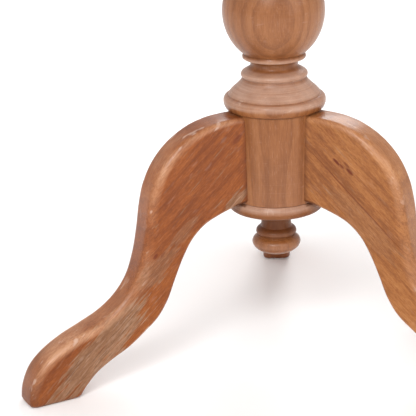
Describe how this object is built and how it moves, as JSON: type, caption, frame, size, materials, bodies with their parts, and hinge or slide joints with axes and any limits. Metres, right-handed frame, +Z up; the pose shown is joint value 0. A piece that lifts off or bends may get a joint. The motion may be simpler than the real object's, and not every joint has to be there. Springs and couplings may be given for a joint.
{
  "type": "tilt top table",
  "caption": "Round tilt-top pedestal table with a turned ball-and-vase column, curved tripod legs, an under-hub finial and a top that tips upright on wooden pins.",
  "frame": {"origin": "on the floor under the column's axis, which is also the centre of the round top", "axes": "+Z up along the column; -Y is the front, between the two front legs, where the show face of the tilted top looks; +X to the right seen from the front; the back leg points to +Y"},
  "size_m": [0.8, 0.8, 0.73],
  "materials": {
    "pedestal_wood": "satin varnish",
    "top_wood": "satin varnish",
    "brass": "aged satin",
    "steel": "plain"
  },
  "bodies": {
    "pedestal": {"column": "pedestal_wood", "leg_front_left": "pedestal_wood", "leg_front_right": "pedestal_wood", "leg_back": "pedestal_wood", "base_disc": "pedestal_wood", "finial": "pedestal_wood", "disc_screw_1": "steel", "disc_screw_2": "steel", "disc_screw_3": "steel", "pivot_block": "pedestal_wood", "tenon_wedge": "pedestal_wood", "pivot_pin_left": "pedestal_wood", "pivot_pin_right": "pedestal_wood", "strike_plate": "brass", "strike_screw_1": "brass", "strike_screw_2": "brass"},
    "top": {"top_board_1": "top_wood", "top_board_2": "top_wood", "top_board_3": "top_wood", "top_board_4": "top_wood", "top_board_5": "top_wood", "bearer_left": "top_wood", "bearer_right": "top_wood", "bearer_screw_left_1": "steel", "bearer_screw_left_2": "steel", "bearer_screw_left_3": "steel", "bearer_screw_left_4": "steel", "bearer_screw_left_5": "steel", "bearer_screw_right_1": "steel", "bearer_screw_right_2": "steel", "bearer_screw_right_3": "steel", "bearer_screw_right_4": "steel", "bearer_screw_right_5": "steel", "catch_case": "brass", "catch_screw_1": "brass", "catch_screw_2": "brass", "catch_screw_3": "brass", "catch_screw_4": "brass"},
    "bolt": {"catch_bolt": "brass", "catch_knob": "brass"}
  },
  "joints": [
    {"name": "top_tilt", "type": "hinge", "parent": "pedestal", "child": "top", "pos_m": [0, -0.07, 0.6927], "axis": [1, 0, 0], "range_deg": [0, 90]},
    {"name": "catch_slide", "type": "slide", "parent": "top", "child": "bolt", "axis": [0, -1, 0], "range_m": [0, 0.01]}
  ]
}
